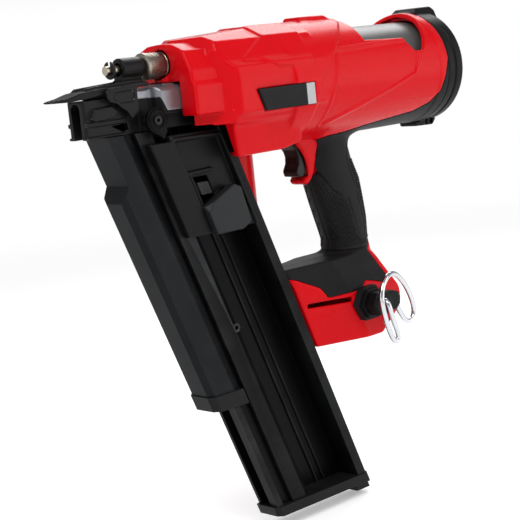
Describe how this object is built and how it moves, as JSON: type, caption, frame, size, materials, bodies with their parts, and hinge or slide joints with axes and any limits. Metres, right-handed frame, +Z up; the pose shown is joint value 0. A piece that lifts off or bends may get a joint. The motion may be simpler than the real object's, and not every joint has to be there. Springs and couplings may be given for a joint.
{
  "type": "cordless framing nailer",
  "caption": "Battery-type framing nailer with slanted nail magazine, gas-spring barrel, rubber grip, depth adjuster and wire rafter hook.",
  "frame": {"origin": "on the drive axis at the mouth of the nail exit", "axes": "+X from the nose to the rear cap, -Y is the tool's left side, +Z up"},
  "size_m": [0.392, 0.1176, 0.3805],
  "materials": {
    "red_shell": "moulded satin red",
    "grip_rubber": "moulded rubber",
    "cap_black": "moulded black",
    "tank_grey": "grey coating",
    "bumper_rubber": "rubber",
    "alloy": "machined",
    "seal_polymer": "moulded",
    "hard_steel": "ground",
    "brass_bush": "plain",
    "motor_black": "black coating",
    "rotor_steel": "laminated",
    "black_steel": "black phosphate",
    "cast_alloy": "die cast",
    "bright_steel": "bright",
    "knob_steel": "knurled",
    "magazine_black": "dark",
    "rail_black": "anodised black",
    "cover_black": "moulded grey-black",
    "pusher_black": "moulded",
    "trigger_black": "moulded",
    "insert_grey": "light grey",
    "board_green": "potted board",
    "wire_chrome": "bright plated wire"
  },
  "bodies": {
    "frame": {"housing_left": "red_shell", "housing_right": "red_shell", "grip_left": "grip_rubber", "grip_right": "grip_rubber", "belly_skin": "grip_rubber", "rear_cap_ring": "cap_black", "rear_cap_plate": "cap_black", "gas_cylinder": "tank_grey", "piston_bumper": "bumper_rubber", "lifter_bearings": "brass_bush", "gearbox_case": "alloy", "motor_can": "motor_black", "nose_guide": "black_steel", "nose_casting": "cast_alloy", "adjuster_block": "magazine_black", "magazine_body": "magazine_black", "magazine_rail": "rail_black", "nail_tip_cover": "cover_black", "cover_end_cap": "cap_black", "magazine_end_cap": "cap_black", "magazine_screw": "black_steel", "magazine_ears": "black_steel", "magazine_pins": "black_steel", "magazine_bracket": "black_steel", "trigger_pin": "bright_steel", "bumper_inserts": "insert_grey", "side_bumper_left": "bumper_rubber", "side_bumper_right": "bumper_rubber", "housing_screws": "black_steel", "trigger_switch": "trigger_black", "control_board": "board_green", "terminal_block": "trigger_black", "terminals": "brass_bush", "hook_mount": "cap_black", "hex_key": "bright_steel"},
    "contact": {"contact_arm": "black_steel", "adjuster_rod": "bright_steel", "retaining_clip": "black_steel"},
    "depth_knob": {"depth_knob": "knob_steel"},
    "pusher": {"pusher_body": "pusher_black", "pusher_pad": "pusher_black"},
    "pusher_latch": {"pusher_latch": "bright_steel"},
    "trigger": {"trigger": "trigger_black"},
    "driver": {"piston": "alloy", "piston_seal": "seal_polymer", "driver_blade": "hard_steel"},
    "lifter": {"lifter_wheel": "hard_steel", "lifter_pins": "hard_steel"},
    "rotor": {"motor_rotor": "rotor_steel"},
    "hook": {"hook_swivel": "cap_black", "hook_wire": "wire_chrome"}
  },
  "joints": [
    {"name": "contact_slide", "type": "slide", "parent": "frame", "child": "contact", "axis": [1, 0, 0], "range_m": [0, 0.01], "stiffness_N_per_m": 400},
    {"name": "knob_turn", "type": "hinge", "parent": "contact", "child": "depth_knob", "pos_m": [0.07, 0, 0.0246], "axis": [1, 0, 0], "continuous": true},
    {"name": "pusher_slide", "type": "slide", "parent": "frame", "child": "pusher", "axis": [0.3584, 0, -0.9336], "range_m": [0, 0.205], "stiffness_N_per_m": 60},
    {"name": "latch_press", "type": "slide", "parent": "pusher", "child": "pusher_latch", "axis": [0, 1, 0], "range_m": [0, 0.003], "stiffness_N_per_m": 200},
    {"name": "trigger_pull", "type": "hinge", "parent": "frame", "child": "trigger", "pos_m": [0.203, 0, -0.047], "axis": [0, -1, 0], "range_deg": [0, 12], "stiffness_Nm_per_rad": 0.3},
    {"name": "driver_stroke", "type": "slide", "parent": "frame", "child": "driver", "axis": [-1, 0, 0], "range_m": [0, 0.096], "stiffness_N_per_m": 200},
    {"name": "lifter_turn", "type": "hinge", "parent": "frame", "child": "lifter", "pos_m": [0.161, 0.01919, 0], "axis": [0, 0, -1], "range_deg": [0, 321]},
    {"name": "rotor_turn", "type": "hinge", "parent": "frame", "child": "rotor", "pos_m": [0.161, 0.035, -0.08], "axis": [0, 0, -1], "range_deg": [0, 1925]},
    {"name": "hook_swing", "type": "hinge", "parent": "frame", "child": "hook", "pos_m": [0.234, -0.04, -0.175], "axis": [0, 1, 0], "range_deg": [-60, 60]}
  ],
  "couplings": [
    {"joint": "lifter_turn", "follows": "driver_stroke", "rad_per_m": 58.173},
    {"joint": "rotor_turn", "follows": "driver_stroke", "rad_per_m": 349.04}
  ]
}
